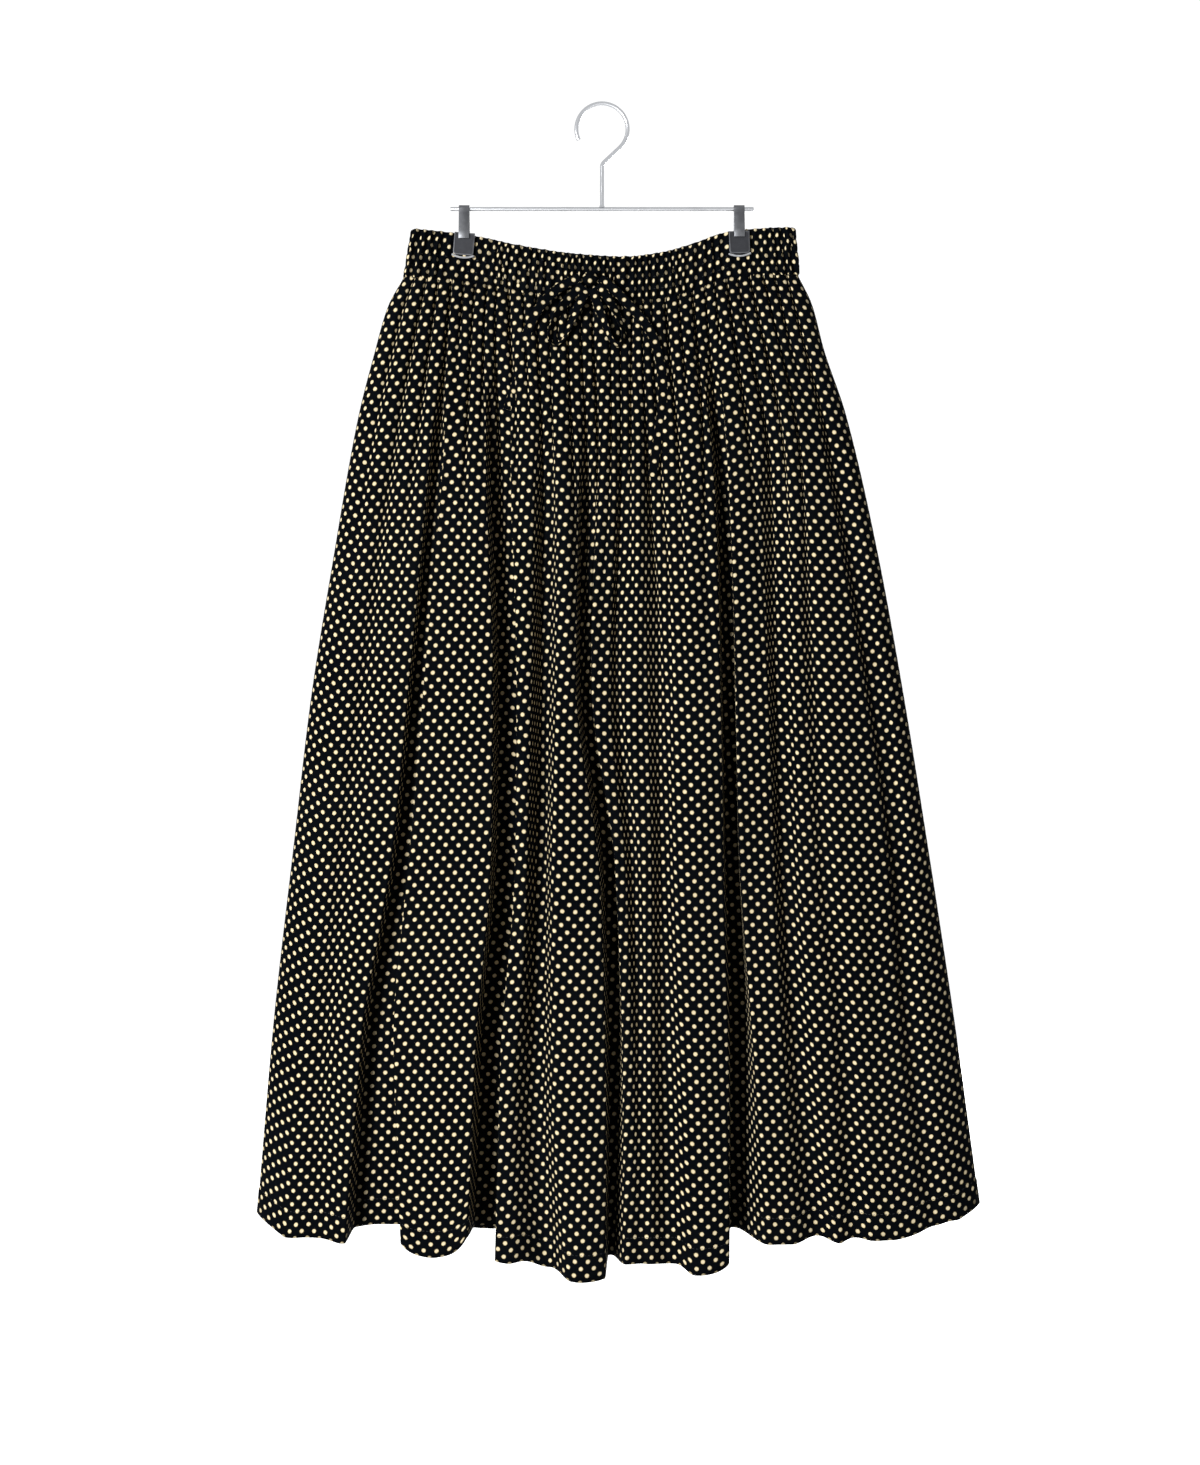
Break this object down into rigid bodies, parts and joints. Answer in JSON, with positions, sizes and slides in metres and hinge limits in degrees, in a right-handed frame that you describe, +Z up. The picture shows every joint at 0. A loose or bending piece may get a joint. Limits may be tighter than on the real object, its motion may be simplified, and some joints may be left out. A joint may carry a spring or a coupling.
{
  "type": "gathered skirt on a clip hanger",
  "caption": "Long gathered skirt in dotted cotton with a shirred elastic waistband and a bow-tied drawstring, held flat by a slim wire hanger with a clip at each side.",
  "frame": {"origin": "inside of the hanger's hook, at its top, where a rail carries it", "axes": "+X to the right as the front is seen, the front faces -Y, +Z up"},
  "size_m": [0.6135, 0.1171, 0.9875],
  "materials": {
    "cotton": "plain-woven cotton, near-black navy with small cream dots",
    "tie": "narrow tie of the same dotted cotton",
    "wire": "polished steel wire",
    "clip": "dark nickel plate",
    "lip": "pale grey soft plastic"
  },
  "bodies": {
    "root": {"skirt_front": "cotton", "skirt_back": "cotton", "waistband": "cotton", "drawstring_knot": "tie", "drawstring_loop_left": "tie", "drawstring_loop_right": "tie", "drawstring_tail_left": "tie", "drawstring_tail_right": "tie", "hanger_wire": "wire", "clip_left_front": "clip", "clip_left_back": "clip", "clip_left_yoke": "clip", "clip_left_lip": "lip", "clip_right_front": "clip", "clip_right_back": "clip", "clip_right_yoke": "clip", "clip_right_lip": "lip"}
  },
  "joints": []
}
